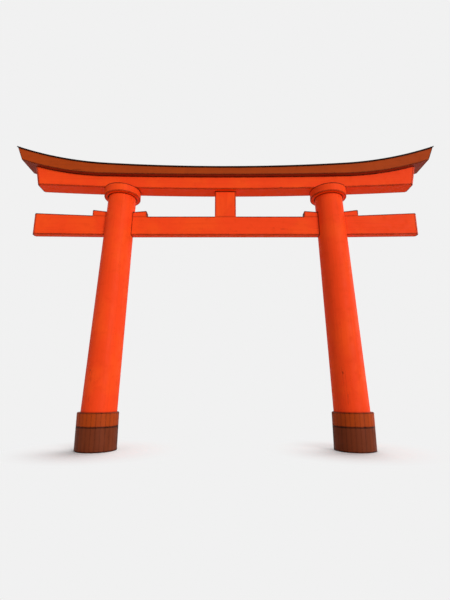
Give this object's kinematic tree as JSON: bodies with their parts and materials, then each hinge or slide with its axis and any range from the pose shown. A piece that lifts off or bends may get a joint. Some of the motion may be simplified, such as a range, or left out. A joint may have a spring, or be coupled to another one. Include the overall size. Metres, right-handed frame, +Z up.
{
  "type": "torii gate",
  "caption": "Large painted timber torii gate: two leaning round pillars, a wedged tie beam with a centre strut, and a curved double lintel under a thin rain cover.",
  "frame": {"origin": "on the ground, midway between the two pillars", "axes": "+X along the lintels, to the right seen from the front; +Y through the gateway, away from the front; +Z up"},
  "size_m": [13.6282, 1.1478, 9.5052],
  "materials": {
    "vermilion": "brushed vermilion paint on planed timber, satin",
    "iron_red": "red-brown iron-oxide paint on planed timber, satin",
    "dark_base": "dark brown paint on timber staves, satin",
    "rain_cover": "thin tarred boards with battens over their joints, matt"
  },
  "bodies": {
    "root": {"pillar_left": "vermilion", "base_sleeve_left_front": "dark_base", "base_sleeve_left_back": "dark_base", "base_band_left_front": "iron_red", "base_band_left_back": "iron_red", "head_ring_left": "vermilion", "wedge_left_inner": "vermilion", "wedge_left_outer": "vermilion", "pillar_right": "vermilion", "base_sleeve_right_front": "dark_base", "base_sleeve_right_back": "dark_base", "base_band_right_front": "iron_red", "base_band_right_back": "iron_red", "head_ring_right": "vermilion", "wedge_right_inner": "vermilion", "wedge_right_outer": "vermilion", "tie_beam": "vermilion", "centre_strut": "vermilion", "lower_lintel": "vermilion", "upper_lintel": "iron_red", "rain_cover_front_left_middle": "rain_cover", "rain_cover_back_left_middle": "rain_cover", "ridge_cap_left_middle": "rain_cover", "rain_cover_front_right_middle": "rain_cover", "rain_cover_back_right_middle": "rain_cover", "ridge_cap_right_middle": "rain_cover", "rain_cover_front_left_end": "rain_cover", "rain_cover_back_left_end": "rain_cover", "ridge_cap_left_end": "rain_cover", "rain_cover_front_right_end": "rain_cover", "rain_cover_back_right_end": "rain_cover", "ridge_cap_right_end": "rain_cover"}
  },
  "joints": []
}
